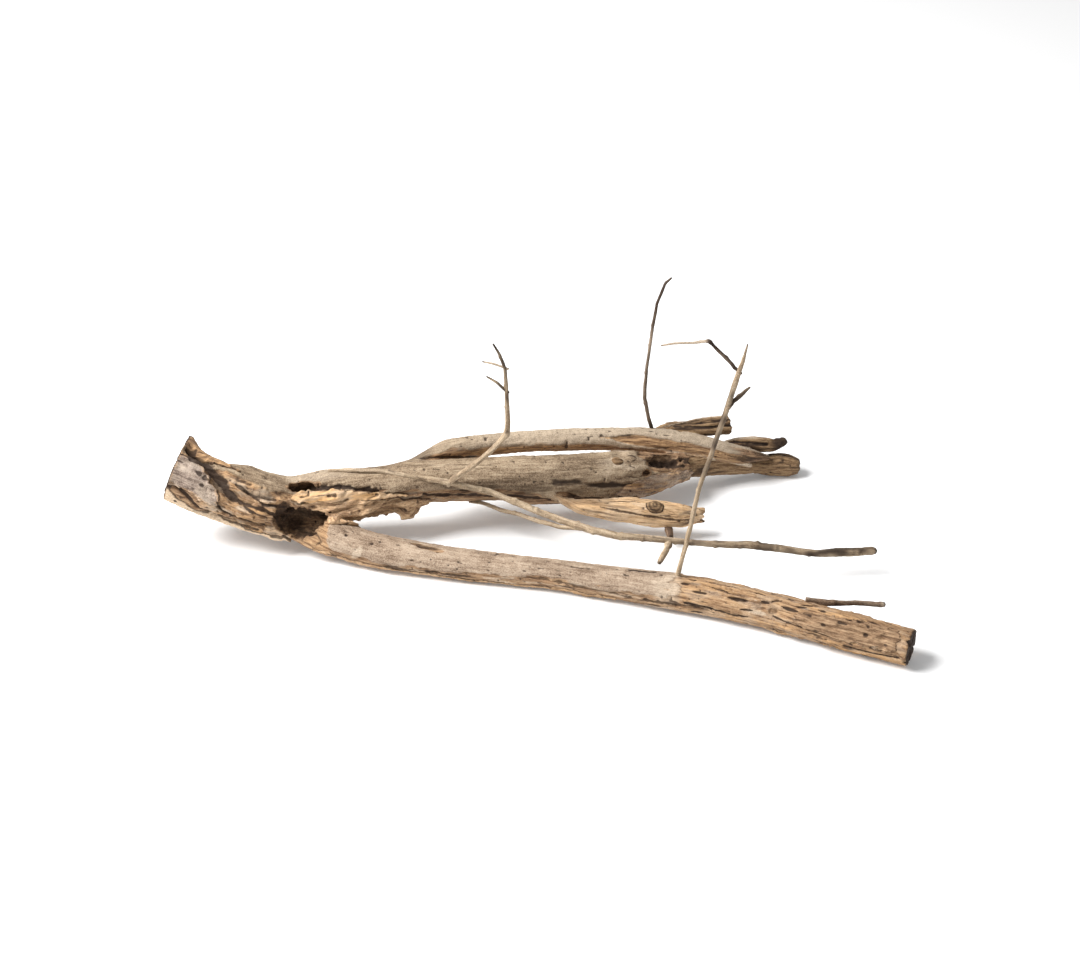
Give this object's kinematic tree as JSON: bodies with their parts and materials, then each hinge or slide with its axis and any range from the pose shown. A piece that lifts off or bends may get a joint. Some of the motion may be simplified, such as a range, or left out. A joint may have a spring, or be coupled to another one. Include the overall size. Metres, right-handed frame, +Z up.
{
  "type": "driftwood branch",
  "caption": "Dry, weathered forked branch lying on its side, with a torn hollow butt, limbs, splinters, loose bark and thin dead twigs.",
  "frame": {"origin": "middle of the footprint on the ground the branch lies on", "axes": "+X from the sawn butt towards the far ends of the limbs, -Y towards the front limb, +Z up"},
  "size_m": [0.6499, 0.3272, 0.2612],
  "materials": {
    "weathered_wood": "matte, weathered grey-brown surface",
    "pale_wood": "matte, smooth pale wood with open checks",
    "bare_tan_wood": "matte, bare golden-tan wood",
    "brown_heartwood": "matte, ribbed dark brown heartwood",
    "grey_bark": "matte, grey-lilac scuffed bark",
    "torn_brown_wood": "matte, fibrous torn brown wood",
    "twig_wood": "matte, pale dry twig wood",
    "dark_twig_wood": "matte, dark dry twig wood"
  },
  "bodies": {
    "root": {"butt": "weathered_wood", "rear_limb": "weathered_wood", "upper_limb": "weathered_wood", "nub": "weathered_wood", "front_limb": "pale_wood", "lower_stub": "bare_tan_wood", "golden_shelf": "bare_tan_wood", "butt_lower_strip": "bare_tan_wood", "nose": "brown_heartwood", "back_splinter": "brown_heartwood", "horn_splinter": "brown_heartwood", "stub_knot": "brown_heartwood", "rear_knot": "brown_heartwood", "butt_plate": "grey_bark", "butt_flap": "grey_bark", "rear_tongue": "grey_bark", "front_end_bark": "grey_bark", "torn_layers": "torn_brown_wood", "front_edge_strip": "torn_brown_wood", "long_twig": "twig_wood", "fork_twig": "twig_wood", "riser_twig": "twig_wood", "riser_low_twiglet": "twig_wood", "riser_high_twiglet": "twig_wood", "long_twig_spur": "twig_wood", "straight_twig": "twig_wood", "spur_twig": "twig_wood", "upright_twig": "dark_twig_wood", "crook_twig": "dark_twig_wood", "back_twig": "dark_twig_wood", "stub_peg": "dark_twig_wood"}
  },
  "joints": []
}
